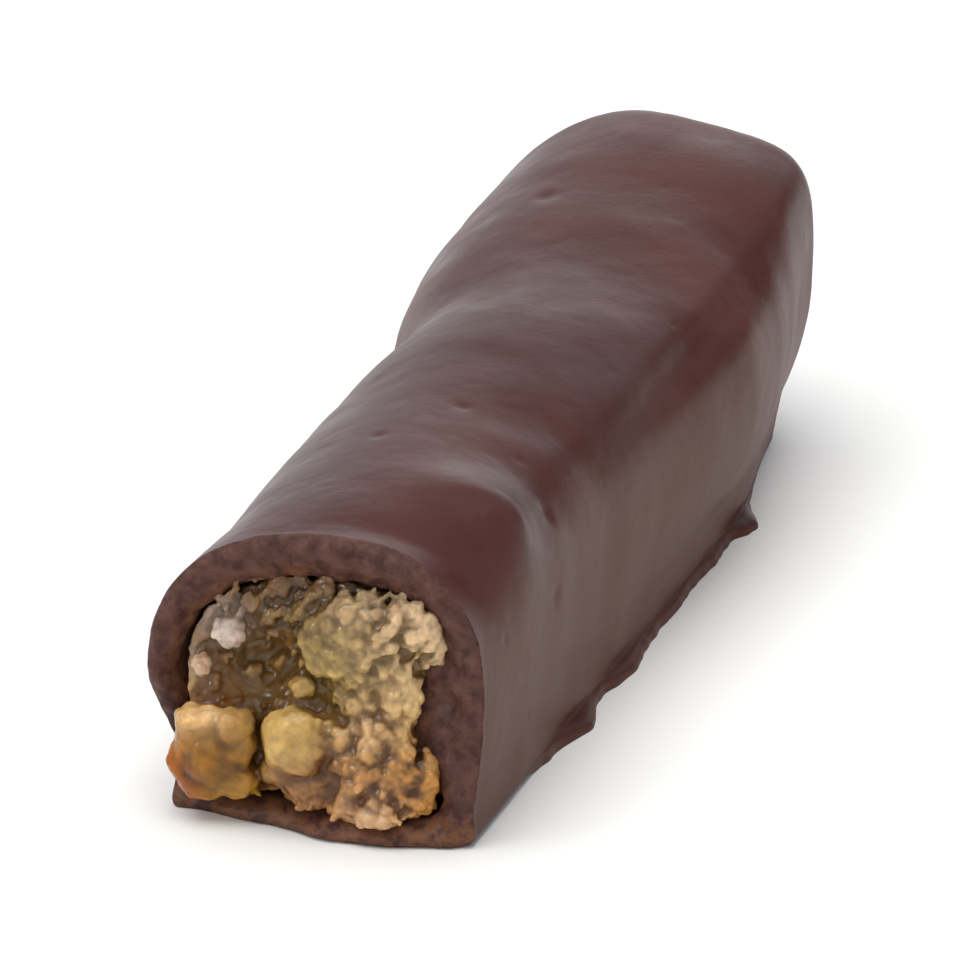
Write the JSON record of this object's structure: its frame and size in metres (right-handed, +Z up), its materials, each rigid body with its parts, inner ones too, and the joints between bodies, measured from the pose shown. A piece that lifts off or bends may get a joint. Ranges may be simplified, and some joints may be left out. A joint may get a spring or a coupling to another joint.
{
  "type": "orangette",
  "caption": "Half of an orangette: a stick of candied orange peel coated in dark chocolate, broken across to show the peel, with a rounded whole end and a flat foot.",
  "frame": {"origin": "centre of the footprint, on the flat underside", "axes": "+Y along the stick from the broken face to the whole end, +X to the right side seen from the broken face, +Z up"},
  "size_m": [0.013, 0.0432, 0.01],
  "materials": {
    "chocolate": "set dark chocolate, satin, with a soft uneven sheen",
    "peel": "candied orange peel, moist, granular and slightly translucent at the break"
  },
  "bodies": {
    "root": {"chocolate_coat": "chocolate", "candied_peel": "peel"}
  },
  "joints": []
}
